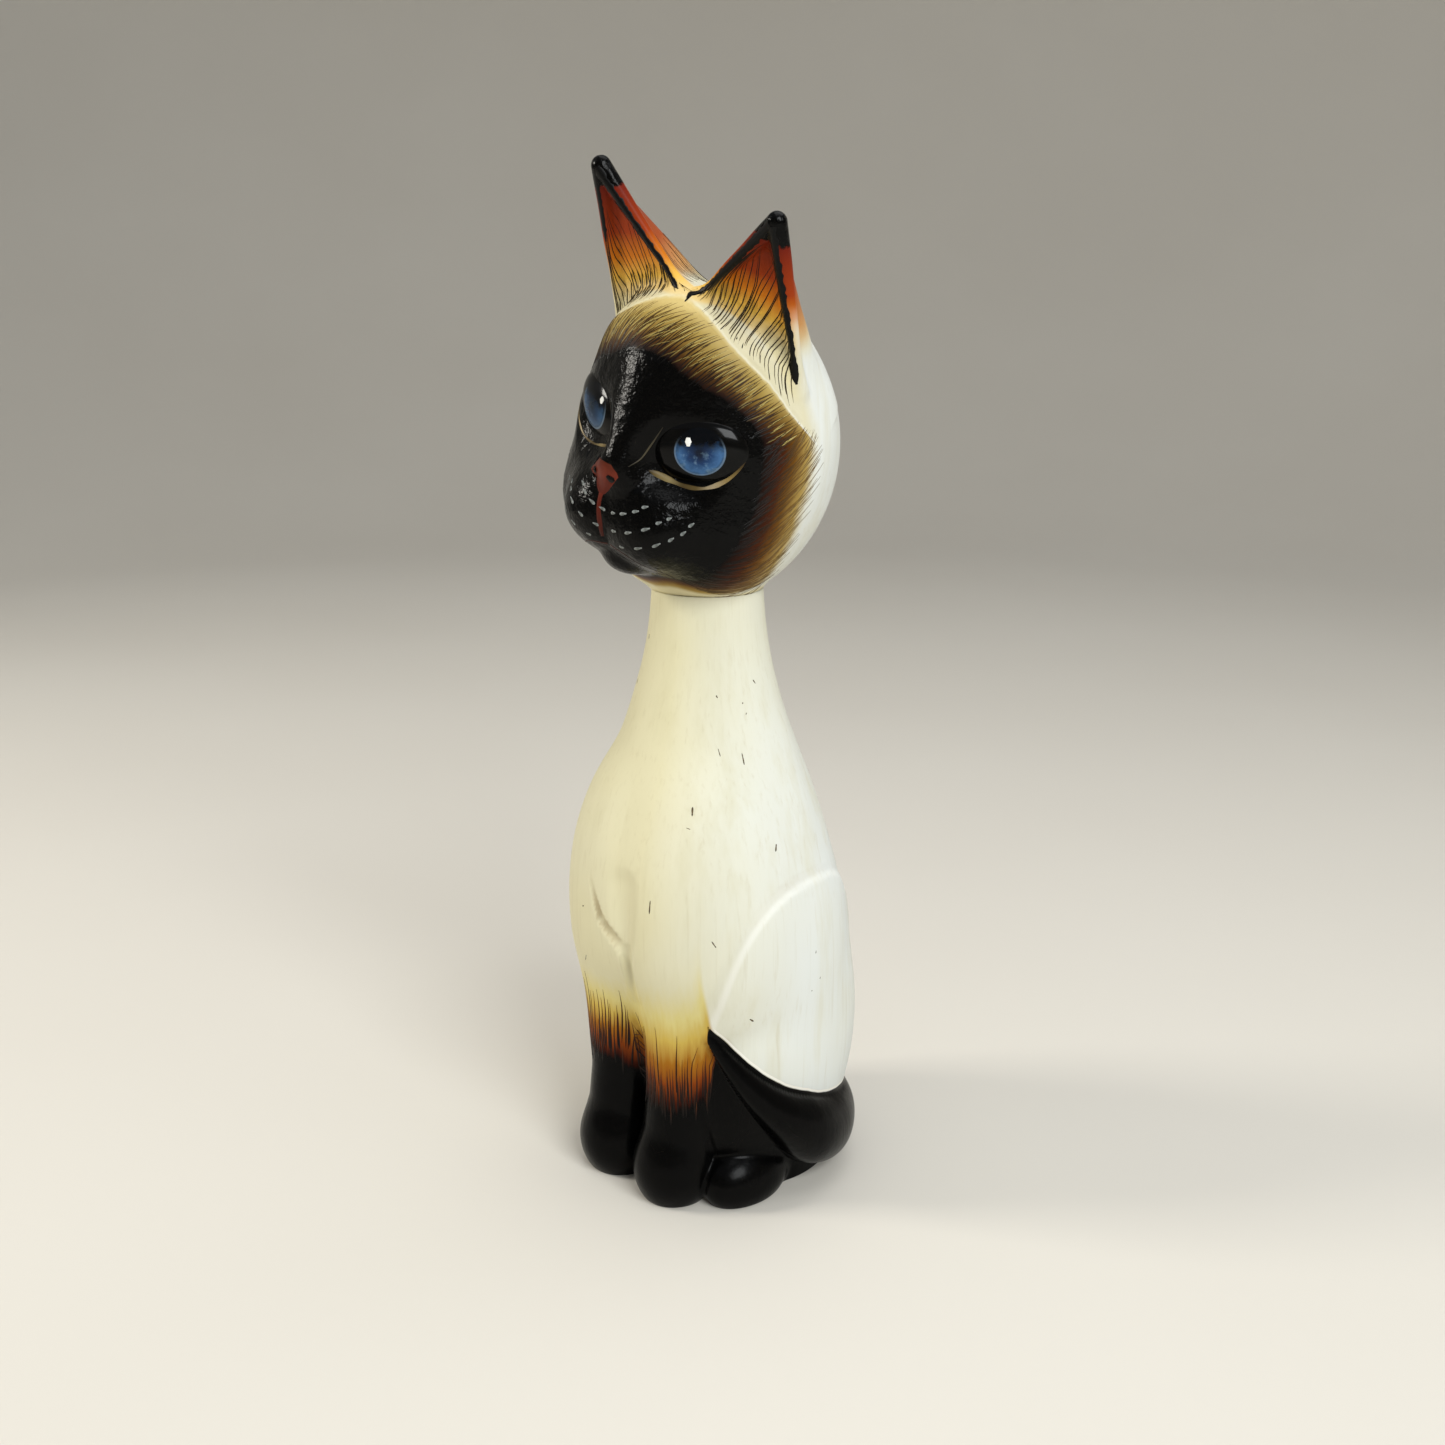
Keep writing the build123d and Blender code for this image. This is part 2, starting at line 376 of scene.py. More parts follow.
def hollow(p, field, reach=2.2):
    """How deep in a crease points lie, 0 to 1: how much less room than reach there is, that far out."""
    return np.clip(1 - field(p + reach * facing(p, field)) / reach, 0, 1)


columns = int(400 * FINE)
turn = np.linspace(0, 2 * np.pi, columns, endpoint=False)
heights = np.concatenate([
    np.linspace(0.4, 70, int(112 * FINE), endpoint=False),
    np.linspace(70, NECK_TOP - 0.02, int(84 * FINE)),
])
outward = np.stack([np.sin(turn), -np.cos(turn), 0 * turn], -1)
start = np.zeros((len(heights), columns, 3)) + outward * OUTSIDE_BODY + np.array([*NECK, 0])
start[..., 2] = heights[:, None]
side = march(start, np.broadcast_to(-outward, start.shape), body_shape, 44)
side_normals = facing(side, body_shape)
down, up = np.array([0, 0, -1.0]), np.array([0, 0, 1.0])
axis = np.array([*NECK, 0])
foot_ring = side[0] - outward * 0.4
foot_ring[:, 2] = 0
bore_ring = axis + outward * BORE_RADIUS
rings = np.concatenate([
    foot_ring[None], side, (bore_ring + up * NECK_TOP)[None], (bore_ring + up * BORE_FLOOR)[None],
])
ring_normals = np.concatenate([
    np.broadcast_to(down, (1, columns, 3)), side_normals, np.broadcast_to(up, (1, columns, 3)),
    -outward[None],
])
points = np.concatenate([axis[None], rings.reshape(-1, 3), (axis + up * BORE_FLOOR)[None]])
normals = np.concatenate([down[None], ring_normals.reshape(-1, 3), up[None]])
body = show("body_block", points, ring_faces(len(rings), columns), normals)

# Where the colours lie, in millimetres from each border. Black covers the tail, the feet and the legs'
# ends, and on the right side it rises from the floor towards the foot.
LEG_BLACK_NEAR = 32.5
LEG_BLACK_FAR = 40.0
LEG_FADE = 40.0
x, y, z = points.T
far_share = np.clip((3 - x) / 11, 0, 1)
leg_black = LEG_BLACK_NEAR + (LEG_BLACK_FAR - LEG_BLACK_NEAR) * far_share
tail_side = body_without_tail(points) - tail(points)
inner_leg = np.clip((hind_leg(points) - front_leg(points)) / 1.5, -3, 3) + np.clip((-12 - y) / 4, -3, 0)
near_leg = np.minimum(28.7 - 0.16 * np.clip(50 - z, 0, 20) - x, -20 - y)
on_leg = np.where(x < 0, inner_leg, np.clip(near_leg, -3, 3))
leg_height = (z - leg_black) * (1 + 0.4 * far_share)
leg_height = leg_height - 0.5 * np.clip(x - 20, 0, 9) - 2.5 * np.clip(x - 26.5, 0, 4)
far_black = 20 + 16 * np.clip((-12 - y) / 14, 0, 1) - z
near_black = np.maximum(tail_side + 0.8, tail_lift(points) - z)
hind_black = np.minimum(np.maximum(near_black, np.where(x > 0, -9, far_black)), 0.7 - on_leg)
hind_black = np.maximum(hind_black, np.where(x > 0, np.minimum(30.5 - z, -12 - y), -9))
# Painted highlight: a pale line along the raised haunch's front edge, where the ridge would catch the light.
ridge = np.abs(THIGH_HALF_LENGTH * (thigh_reach(points) - 1) + 1.4)
note(body, "ridge", np.where((x > 0) & (z > 58), 1 - np.clip(ridge / 1.3, 0, 1), 0))
note(body, "leg", np.clip(on_leg, -1, 1))
note(body, "leg_height", leg_height)
note(body, "tail_edge", np.where((x > 0) & (on_leg < -0.4), near_black, -9))
note(body, "hind_black", hind_black)
# Painted shade: how deep each point lies in a crease, so the paint can darken there.
note(body, "crease", hollow(points, body_shape))
# Painted light: a share that grows towards the cat's left side and back, the side the cool key lamp lights,
# which turns the paint from warm cream to white.
flank = np.clip((x * 0.72 + y * 0.32 + 5) / 34, 0, 1)
note(body, "flank", np.where(z > 2, flank, 0))

CREAM = "d6d0ae"
WHITE = "d8dbd7"
GRAIN = "b3a780"
BLACK = "030303"
LINE_WHITE = "e9e6dc"


def cream_paint(paint, flank):
    """Brushed cream, warm in front and whiter behind as painted light from the key lamp's side, with fine
    upright streaks of the grain and clouds.
    """
    streak = paint.noise((760, 760, 22), 3.0, 0.6)
    cloud = paint.noise((28, 28, 18), 2.0)
    colour = paint.mix(flank + (cloud - 0.5) * 0.5, CREAM, WHITE)
    brushed = paint.noise((130, 130, 20), 3.0, 0.65)
    colour = paint.mix((brushed - 0.46).between(0, 0.3) * 0.28, colour, "c4bd98")
    return paint.mix((streak - 0.5).between(0.02, 0.34) * 0.28, colour, GRAIN), streak, cloud


paint = Paint("body_paint")
colour, streak, cloud = cream_paint(paint, paint.number("flank"))
# Painted shade: the cream turns brownish in creases and hollows, where shade falls.
crease = paint.number("crease")
colour = paint.mix((crease - 0.10).between(0, 0.6) * 0.6, colour, "8a6c38")
# Painted highlight along the haunch's ridge.
colour = paint.mix(paint.number("ridge").between(0.1, 0.9) * 0.4, colour, "eeeee8")
leg_height = paint.number("leg_height") + (paint.noise((700, 700, 60), 2.0) - 0.5) * 7.0
fade = paint.ramp((leg_height * (1 / LEG_FADE)).least(1.0), [
    (0.00, "120806"), (0.07, "3c1408"), (0.20, "7e3a10"), (0.36, "9a641a"),
    (0.54, "c4a852"), (0.72, "d3c684"), (1.00, CREAM),
])
on_leg = paint.number("leg").between(-0.6, 0.6)
fade_share = on_leg * (1 - paint.number("leg_height").between(30, 52))
colour = paint.mix(fade_share, colour, fade)
leg_black = on_leg * (1 - leg_height.between(-1.5, 1.5))
edge = paint.number("hind_black") + (paint.noise(160, 2.0) - 0.5) * 0.5
hind_black = edge.between(-0.12, 0.12)
black = leg_black.most(hind_black)
tail_edge = paint.number("tail_edge") + (edge - paint.number("hind_black"))
line = 1 - (tail_edge + 0.42).size().between(0.20, 0.34)
colour = paint.mix(line, colour, LINE_WHITE)
colour = paint.mix(black, colour, BLACK)
gloss = 0.48 - black * 0.22 + (cloud - 0.5) * 0.12
worn = (paint.noise(260, 3.0, 0.6) - 0.5) * black * 2.0
fine_bump = paint.bump(streak + worn, 0.00012, 0.5)
BODY_PAINT = paint.finish(Base_Color=colour, Roughness=gloss, Coat_Weight=black * 0.03, Normal=fine_bump,
                          Coat_Roughness=0.14, Specular_IOR_Level=0.06)
body.data.materials.append(BODY_PAINT)
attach(body, "root")
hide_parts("body")

# ------------------------------
# Head block. A second piece of the same wood holds the skull, face and ears. It is carved upright, then
# set on the neck's flat top turned, nodding and leaning to the cat's left, and glued over the dowel.
# ------------------------------
HEAD_CENTRE = np.array([-1.5, -3.0, 224.5])
HEAD_TURN = turned(yaw=7, nod=9, lean=13.5)
BORE_ROOF = 207.5
OUTSIDE_HEAD = 62.0  # a distance from the head's centre that clears the skull
HEM_TUCK = 0.3  # how far the hem round each ear is sunk under the skull
EYE_CENTRE = np.array([17.6, -24.3, 7.5])
EYE_TURN = turned(yaw=27, lean=-8)
EYE_RADII = np.array([13.2, 5.2, 9.6])
EYE_RIGHT_RISE = 2.6
EYE_RIGHT_SHIFT = np.array([-0.6, 1.5, EYE_RIGHT_RISE])  # towards the nose, back and up
EAR_BALL = {1: np.array([28.6, -16.5, 67.9]), -1: np.array([28.8, -16.5, 70.9])}
EAR_BALL_RADIUS = 2.7
EAR_PEAK = np.array([0.6, -0.4, 3.0])  # from a ball to the point where its ear's four sides would meet
EAR_INNER = np.array([1.8, -10.2, 42.2])
EAR_OUTER = np.array([31.2, -0.4, 23.2])
EAR_BACK_INNER = np.array([10.5, 20.0, 35.5])
EAR_BACK_OUTER = np.array([32.0, 13.4, 19.5])
EAR_MIDDLE = np.array([20.0, 0.0, 33.0])

# The knife's line between the brow and the ears, on the left side.
CREST = np.array([
    (1.0, -14.9, 43.3), (7.6, -16.7, 41.6), (14.6, -17.2, 38.6), (21.4, -16.2, 34.2), (28.7, -11.1, 26.1),
    (34.7, -3.8, 15.6),
])


def sided(p, hand):
    """Points of the left side as they are for hand 1, or on the right side for hand -1."""
    return p * np.array([hand, 1, 1.0])


def to_head(p):
    return (p - HEAD_CENTRE) @ HEAD_TURN


def from_head(q):
    return q @ HEAD_TURN.T + HEAD_CENTRE


def skull(q):
    """Skull, forehead dome, cheeks, snout, bridge, whisker pads and chin joined, less the two eye hollows."""
    m = mirrored(q)
    socket = m - np.array([0, 0, EYE_RIGHT_RISE]) * np.clip(-q[..., :1] / 8, 0, 1)
    shape = oval(q, (0, 2.5, -3), (38, 38, 45))
    shape = blend(shape, oval(q, (0, -8, 23), (27, 20, 20.5)), 6)
    shape = blend(shape, oval(q, (0, -20, -14), (20, 19, 15.5)), 10)
    shape = blend(shape, oval(m, (20, -12, -18), (14.5, 17, 16.5)), 8)
    shape = blend(shape, limb(q, (0, -20, 21.5), (0, -32.4, 1.5), 10, 8.6), 6)
    shape = carve(shape, oval(socket, (17.8, -33.5, 6.5), (14, 7.5, 10.5), EYE_TURN), 4)
    shape = blend(shape, oval(m, (9.0, -29.3, -15.5), (12, 12, 10.5)), 6)
    shape = blend(shape, oval(q, (0, -27.5, -26), (9.5, 9.5, 6.5)), 1.5)
    shape = carve(shape, limb(q, (-2.2, -42.4, -8), (-1.2, -42.0, -20), 1.3, 1.6), 1.0)
    groove = limb(m, (9.2, -34.6, 1.0), (6.0, -40.4, -4.5), 0.8, 1.0)
    for a, b in zip(CREST[:-1], CREST[1:]):
        groove = np.minimum(groove, limb(m, a, b, 0.8, 0.81))
    return carve(shape, groove, 0.9)


def flat(q, a, b, c, inside):
    """The distance to the plane through three points, negative on the side of the point inside."""
    normal = np.cross(b - a, c - a)
    normal = normal / np.linalg.norm(normal)
    return (q - a) @ (normal * (-1 if (inside - a) @ normal > 0 else 1))


def ear(q, side):
    """A four-sided spike with rounded edges, a ball at its tip, and a ridge down each edge of its front."""
    w, ball = sided(q, side), EAR_BALL[side]
    tip = ball + EAR_PEAK
    front = flat(w, tip, EAR_INNER, EAR_OUTER, EAR_MIDDLE)
    inner = flat(w, tip, EAR_INNER, EAR_BACK_INNER, EAR_MIDDLE)
    outer = flat(w, tip, EAR_OUTER, EAR_BACK_OUTER, EAR_MIDDLE)
    back = flat(w, tip, EAR_BACK_INNER, EAR_BACK_OUTER, EAR_MIDDLE)
    shape = carve(carve(front, -inner, 1.2), -outer, 1.2)
    behind = carve(carve(back, -outer, 6), -inner, 6)
    shape = carve(shape, -behind, 1.2)
    inner_ridge = limb(w, ball, EAR_INNER, EAR_BALL_RADIUS, 0.9)
    outer_ridge = limb(w, ball, EAR_OUTER, EAR_BALL_RADIUS, 1.0)
    shape = blend(shape, np.minimum(inner_ridge, outer_ridge), 1.6)
    foot = (EAR_INNER - [0, 0, 5], EAR_OUTER - [2.5, 0, 3], EAR_BACK_INNER - [0, 0, 7])
    return np.maximum(shape, flat(w, *foot, EAR_MIDDLE + [0, 0, 8]))


def skull_shape(p):
    """The skull set on the neck, with a collar under it, cut flat at the bottom and bored for the dowel."""
    collar = limb(p, (*NECK, 186), (*NECK, 200), 16.0, 14)
    shape = blend(skull(to_head(p)), collar, 3) + knife_marks(p)
    bore = np.maximum(np.hypot(p[..., 0] - NECK[0], p[..., 1] - NECK[1]) - BORE_RADIUS, p[..., 2] - BORE_ROOF)
    return np.maximum(np.maximum(shape, NECK_TOP - p[..., 2]), -bore)


def head_shape(p):
    """The skull with its ears, each joined by a fillet that is narrower behind the ear than before it."""
    q = to_head(p)
    reach = 6.5 - 2.0 * np.clip((q[..., 1] + 8) / 14, 0, 1)
    return blend(skull_shape(p), np.minimum(ear(q, 1), ear(q, -1)) + knife_marks(p), reach)


# The skull is a grid of lines that fan out from the head's centre, close together round the nose.
columns = int(360 * FINE)
turn = np.linspace(0, 2 * np.pi, columns, endpoint=False)
polar = np.radians(np.concatenate([
    np.linspace(0.5, 78, int(116 * FINE), endpoint=False), np.linspace(78, 179, int(72 * FINE)),
]))[:, None]
fan = np.stack([
    np.sin(polar) * np.cos(turn), -np.cos(polar) + 0 * turn, np.sin(polar) * np.sin(turn),
], -1) @ HEAD_TURN.T
poles = np.array([[0, -1.0, 0], [0, 1.0, 0]]) @ HEAD_TURN.T
fan = np.concatenate([poles[:1], fan.reshape(-1, 3), poles[1:]])
skull_points = march(HEAD_CENTRE + OUTSIDE_HEAD * fan, -fan, skull_shape, 44)
skull_faces = [face[::-1] for face in ring_faces(len(polar), columns)]

# Each ear is a cone of lines from its tip to a loop round its foot, and a skirt that runs out over the
# skull; every point is then settled on the blended shape, and the skirt's hem is tucked under it.
EAR_LOOP = [
    (EAR_INNER, EAR_OUTER, 60), (EAR_OUTER, EAR_BACK_OUTER, 26), (EAR_BACK_OUTER, EAR_BACK_INNER, 26),
    (EAR_BACK_INNER, EAR_INNER, 34),
]
loop = np.concatenate([
    a + (b - a) * np.linspace(0, 1, int(n * FINE), endpoint=False)[:, None] for a, b, n in EAR_LOOP
])
loop_out = loop - loop.mean(0)
loop_out = loop_out / np.linalg.norm(loop_out, axis=-1, keepdims=True)
all_points, all_faces = [skull_points], list(skull_faces)
for hand in (1, -1):
    tip = EAR_BALL[hand]
    gone = np.linspace(0, 1, int(76 * FINE) + 1)[1:, None, None] ** 1.15
    middle = tip + np.array([0.5, -0.3, 3.4]) * (1 - gone) + (loop.mean(0) - tip) * gone
    wide = 2.6 * np.sqrt(np.clip(gone * 22, 0, 1)) * (1 - 0.6 * gone)
    cone = middle + (loop - loop.mean(0)) * gone + loop_out * wide
    skirt = loop + loop_out * (1.0 + np.linspace(0.7, 17, int(32 * FINE))[:, None, None])
    rows = np.concatenate([cone, skirt])
    rows[..., 0] = np.maximum(rows[..., 0], -0.6)
    guess = np.concatenate([(tip + np.array([0.5, -0.3, 3.6]))[None], rows.reshape(-1, 3)])
    seated = settle(from_head(sided(guess, hand)), head_shape, 14, 0.7)
    hem = len(loop)
    seated[-hem:] = settle(seated[-hem:], skull_shape, 6)
    seated[-hem:] -= HEM_TUCK * facing(seated[-hem:], skull_shape)
    inside = from_head(sided(EAR_MIDDLE, hand))[None]
    faces = ring_faces(len(rows), hem, sum(map(len, all_points)))
    faces = [face if hand < 0 else face[::-1] for face in faces]
    all_points.append(np.concatenate([seated, inside]))
    all_faces += faces
points = np.concatenate(all_points)
normals = facing(points, head_shape)
skull_count = len(skull_points)
normals[:skull_count] = facing(skull_points, skull_shape)
head = show("head_block", points, all_faces, normals)

# Where the face's mask ends: degrees from straight ahead, for each direction from the middle of the face.
MASK_TURN = [-90, -75, -60, -45, -30, -15, 0, 20, 27, 37, 48, 60, 90]
MASK_REACH = [52, 50, 52, 54.5, 56.5, 60, 63, 66, 64.5, 59.3, 54.5, 50.2, 49]
CREST_TURN = [-90, 10, 23.6, 42.4, 58, 74, 80, 90]
CREST_REACH = [150, 96, 84.5, 74.2, 67.5, 68.3, 69.5, 71.5]
MM_PER_DEGREE = 0.66
BROW_FADE = 16.0
CHEEK_FADE = 26.0


def face_angles(q):
    """Direction round the face, from level to up, and angle from straight ahead, both in degrees."""
    round_face = np.degrees(np.arctan2(q[..., 2], np.abs(q[..., 0])))
    return round_face, np.degrees(np.arctan2(np.hypot(q[..., 0], q[..., 2]), -q[..., 1]))


q = to_head(points)
round_face, from_front = face_angles(q)
mask = (through(round_face, MASK_TURN, MASK_REACH) - from_front) * MM_PER_DEGREE
mask = mask * np.where(mask < 0, 1 + 2.0 * np.clip((-48 - round_face) / 22, 0, 1), 1)
w = mirrored(q)
left = q[:, 0] > 0
tip = np.where(left[:, None], EAR_BALL[1], EAR_BALL[-1])
crease_middle = np.array([17.5, -12.5, 33.0])
spine = tip - crease_middle
ear_height = ((w - crease_middle) * spine).sum(-1) / (spine**2).sum(-1)
note(head, "mask", mask)
note(head, "beyond", (from_front - through(round_face, CREST_TURN, CREST_REACH)) * MM_PER_DEGREE)
note(head, "brow", np.clip((round_face - 18) / 22, 0, 1))
note(head, "ear_height", ear_height)
for name, foot in (("ear_front", (EAR_INNER, EAR_OUTER)), ("ear_outer", (EAR_OUTER, EAR_BACK_OUTER))):
    left_gap, right_gap = (flat(w, EAR_BALL[hand] + EAR_PEAK, *foot, EAR_MIDDLE) for hand in (1, -1))
    note(head, name, np.where(left, left_gap, right_gap))
note(head, "above_skull", skull(q))
# Painted shade: how deep each point lies in a crease, as on the body.
note(head, "crease", hollow(points, head_shape))
# Painted light: the same lit-side share for the head's cream, whiter on the side the key lamp lights.
note(head, "flank", np.clip((points[:, 0] * 0.72 + points[:, 1] * 0.32 + 10) / 34, 0, 1))

paint = Paint("head_paint")
colour, streak, cloud = cream_paint(paint, paint.number("flank"))
hair = paint.noise(520, 2.0) - 0.5
soft = paint.noise(90, 2.0) - 0.5
mask = paint.number("mask") + soft * 3.0 + hair * 1.2
outside = -mask
brow_fur = paint.ramp((outside * (1 / BROW_FADE) + 0.1).least(1.0), [
    (0.04, "040302"), (0.13, "24120a"), (0.26, "482e10"), (0.42, "785e2a"),
    (0.62, "9a8344"), (0.90, "c2ad70"),
])
cheek_fur = paint.ramp((outside * (1 / CHEEK_FADE) + 0.08).least(1.0), [
    (0.04, "040302"), (0.15, "260e05"), (0.28, "401b06"), (0.42, "624012"),
    (0.64, "a08648"), (0.90, CREAM),
])
fur = paint.mix(paint.number("brow"), cheek_fur, brow_fur)
beyond = paint.number("beyond") + hair * 0.8
on_face = (1 - outside.between(15, 21)) * (1 - beyond.between(-0.3, 0.5))
colour = paint.mix(on_face, colour, fur)
ear_height = paint.number("ear_height") + soft * 0.10
ear_fur = paint.ramp(ear_height, [
    (0.08, "d4caa2"), (0.25, "dcb04c"), (0.39, "c27018"), (0.55, "94360e"),
    (0.85, "6a1c0c"),
])
ear_back = paint.ramp(ear_height, [
    (0.08, "d2c8a0"), (0.28, "bc8a54"), (0.48, "9c481f"), (0.85, "762414"),
])
above = paint.number("above_skull")
on_front = paint.number("ear_front").between(-1.6, -0.9)
# Painted highlight: a pale line along the crest between brow and ears, where the carved edge catches the
# light.
crest_highlight = (beyond.size() - 0.3).between(0.0, 0.7) * -1 + 1
colour = paint.mix(beyond.between(0, 1) * (1 - outside.between(15, 22)) * 0.7, colour, "cdc39a")
colour = paint.mix(crest_highlight * paint.number("brow").between(0.1, 0.6) * 0.25, colour, "e2d8ac")
on_ear = above.between(0.2, 0.9)
low_side = paint.number("ear_outer").between(-0.8, 2.6) * (1 - ear_height.between(0.26, 0.5))
colour = paint.mix(on_ear * on_front * (1 - low_side), colour, ear_fur)
behind = (1 - on_front) * paint.number("ear_height").between(-0.02, 0.2) * above.between(0.5, 4.0)
colour = paint.mix(behind, colour, ear_back)
black = mask.between(-0.3, 1.2)
tip_black = (paint.number("ear_height") + hair * 0.06).between(0.86, 0.88)
black = black.most(tip_black)
colour = paint.mix(black, colour, BLACK)
sheen = paint.noise(60, 3.0, 0.6)
gloss = 0.42 - black * 0.24 + (sheen - 0.5) * 0.16
brushed = (paint.noise(300, 3.0, 0.62) - 0.5) * black * 2 + streak * 0.3
fine_bump = paint.bump(brushed, 0.00046, 0.6)
HEAD_PAINT = paint.finish(Base_Color=colour, Roughness=gloss, Coat_Weight=black * 0.03, Normal=fine_bump,
                          Coat_Roughness=0.14, Specular_IOR_Level=0.085)
head.data.materials.append(HEAD_PAINT)
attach(head, "root")
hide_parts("head")

# ------------------------------
# Eyes. Low domes carved with the head, painted blue on black and varnished until they shine, so they are
# shown as pieces of their own.
# ------------------------------
IRIS_RISE = 1.2
IRIS_RADII = (7.0, 6.4)


def dome(centre, radii, turn, rows=60, columns=96):
    """A closed oval: its point at angle and height is each radius times the sine or cosine of these."""
    high = np.linspace(-90, 90, rows + 2)[1:-1, None]
    round_it = np.linspace(0, 360, columns, endpoint=False)
    high, round_it = np.radians(high), np.radians(round_it)
    shape = np.stack([
        np.cos(high) * np.cos(round_it), np.cos(high) * np.sin(round_it), np.sin(high) + 0 * round_it,
    ], -1)
    own = np.concatenate([[[0, 0, -1]], shape.reshape(-1, 3), [[0, 0, 1]]]) * radii
    return own, own @ turn.T + centre, ring_faces(rows, columns)


eyes = []
for name, hand, shift, middle in (("eye_left", 1, 0, 0.6), ("eye_right", -1, EYE_RIGHT_SHIFT, -1.2)):
    own, placed, faces = dome(EYE_CENTRE + shift, EYE_RADII, EYE_TURN)
    faces = [face if hand > 0 else face[::-1] for face in faces]
    eye = show(name, from_head(sided(placed, hand)), faces)
    # Painted shade: the right eye, on the far side, has its blue darkened as if it lay in shade.
    note(eye, "dim", 0.0 * own[:, 0] + (0.55 if hand < 0 else 0.0))
    note(eye, "up", own[:, 2] - IRIS_RISE)
    note(eye, "iris", np.hypot((own[:, 0] - middle) / IRIS_RADII[0], (own[:, 2] - IRIS_RISE) / IRIS_RADII[1]))
    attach(eye, "root")
    eyes.append(eye)

paint = Paint("eye_gloss")
iris = paint.number("iris")
height = paint.number("up")
cloudy = paint.noise(500, 3.0, 0.6) - 0.5
blue = paint.ramp((iris + cloudy * 0.5).least(1.2), [
    (0.1, "0c1628"), (0.45, "1a365e"), (0.8, "3c6390"), (1.0, "27425f"),
])
blue = paint.mix((cloudy - 0.04).between(0, 0.2) * 0.35, blue, "7d9cb0")
# Painted shade: the far eye's blue is dulled towards grey.
blue = paint.mix(paint.number("dim"), blue, "26333c")
dark_top = (height + cloudy * 4.0).between(-0.5, 3.0)
blue = paint.mix(dark_top, blue, "04060a")
rim = (1 - (iris - 0.96).size().between(0.015, 0.05)) * (1 - height.between(-1.0, 4.5))
inside = 1 - iris.between(0.98, 1.0)
colour = paint.mix(inside, "030303", blue)
colour = paint.mix(rim * 0.3, colour, "8fa3b4")
EYE_GLOSS = paint.finish(Base_Color=colour, Roughness=0.2 + cloudy * 0.1, Coat_Weight=0.2,
                         Coat_Roughness=0.08, Specular_IOR_Level=0.05)
for eye in eyes:
    eye.data.materials.append(EYE_GLOSS)

# ------------------------------
# Black edge lines of the ears. One thick brushed line runs from each ear's tip down each edge of its
# front, with ragged sides where single bristles left the line.
# ------------------------------
random = np.random.default_rng(11)


def part_way(stops, share, knots=None):
    """Points or colours a share of the way, 0 to 1, through a list of stops, straight between them."""
    stops = np.array(stops, float)
    knots = np.linspace(0, 1, len(stops)) if knots is None else knots
    return np.stack([np.interp(share, knots, stops[:, i]) for i in range(3)], -1)


def tints(codes, share):
    """Colours along strokes: a share of the way, 0 to 1, through a list of six-digit codes."""
    return part_way([tone(code)[:3] for code in codes], share)


def lay(name, lines, half, rise, field, colours, across=(1, 0, -1)):
    """Closed strokes of paint along lines on a surface. Each cross-section has points at shares of the half
    width to either side, raised most in its middle, and one point sunk under it. Half widths and colours
    run along one stroke, for all to share, or along each stroke."""
    lines = settle(lines, field, 5)
    out = facing(lines, field)
    side = np.cross(np.gradient(lines, axis=1), out)
    side = side / np.maximum(np.linalg.norm(side, axis=-1, keepdims=True), 1e-9)
    ring, ways = [], []
    for share in across:
        spot = settle(lines + side * (half * share)[..., None], field, 2)
        way = facing(spot, field)
        ring.append(spot + way * rise * (1 - 0.8 * share**2))
        ways.append(way + 0.6 * share * side)
    ring = np.stack(ring + [lines - 0.3 * out], 2)
    ways = np.stack(ways + [-out], 2)
    index = np.arange(ring[..., 0].size).reshape(ring.shape[:3])
    here, there = index[:, :-1], index[:, 1:]
    walls = np.stack([here, there, np.roll(there, -1, 2), np.roll(here, -1, 2)], -1).reshape(-1, 4)
    ends = index[:, 0].tolist() + index[:, -1, ::-1].tolist()
    made = show(name, ring.reshape(-1, 3), walls.tolist() + ends, ways.reshape(-1, 3))
    layer = made.data.attributes.new("tint", "FLOAT_COLOR", "POINT")
    tint = np.ones((*ring.shape[:3], 4))
    tint[..., :3] = colours[..., None, :]
    layer.data.foreach_set("color", tint.astype(np.float32).ravel())
    made.data.materials.append(LINE_PAINT)
    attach(made, "root")


paint = Paint("line_paint")
tint = paint.node("Attribute", {"attribute_name": "tint"}, {}, "Color")
patchy = paint.noise(900, 2.0)
colour = paint.mix(patchy * 0.25, tint, "000000")
LINE_PAINT = paint.finish(Base_Color=colour, Roughness=0.34 + patchy * 0.1, Specular_IOR_Level=0.15)

ROUNDED = (1, 0.5, 0, -0.5, -1)  # shares of the half width, for lines wide enough to need a rounder back
EDGES = [  # name, hand, where the line goes from the tip, half width, and the share of the way it reaches
    ("inner_left", 1, (EAR_INNER, CREST[0] + [0.6, 0, 0]), 1.7, 1.0),
    ("outer_left", 1, (EAR_OUTER,), 1.7, 0.95),
    ("inner_right", -1, (EAR_INNER,), 1.7, 0.97),
    ("outer_right", -1, (EAR_OUTER,), 1.0, 0.42),
]
for name, hand, feet, width, lowest in EDGES:
    spots = np.stack([EAR_BALL[hand], *feet])
    knots = np.concatenate([[0], np.cumsum(np.linalg.norm(np.diff(spots, axis=0), axis=-1))])
    along = np.linspace(0.01, lowest, 110)
    line = part_way(spots, along, knots / knots[-1]) + np.array([0, -1.6, 0])
    ragged = np.interp(along, np.linspace(0, 1, 50), random.uniform(0.62, 1.2, 50))
    thinner = 1 - (0.62 if "inner" in name else 0.35) * along
    half = width * ragged * thinner * np.clip((lowest - along) / 0.06, 0.12, 1) ** 0.6
    line = from_head(sided(line, hand))[None]
    lay(f"ear_line_{name}", line, half, 0.14, head_shape, tints(["040404"] * 2, along), ROUNDED)

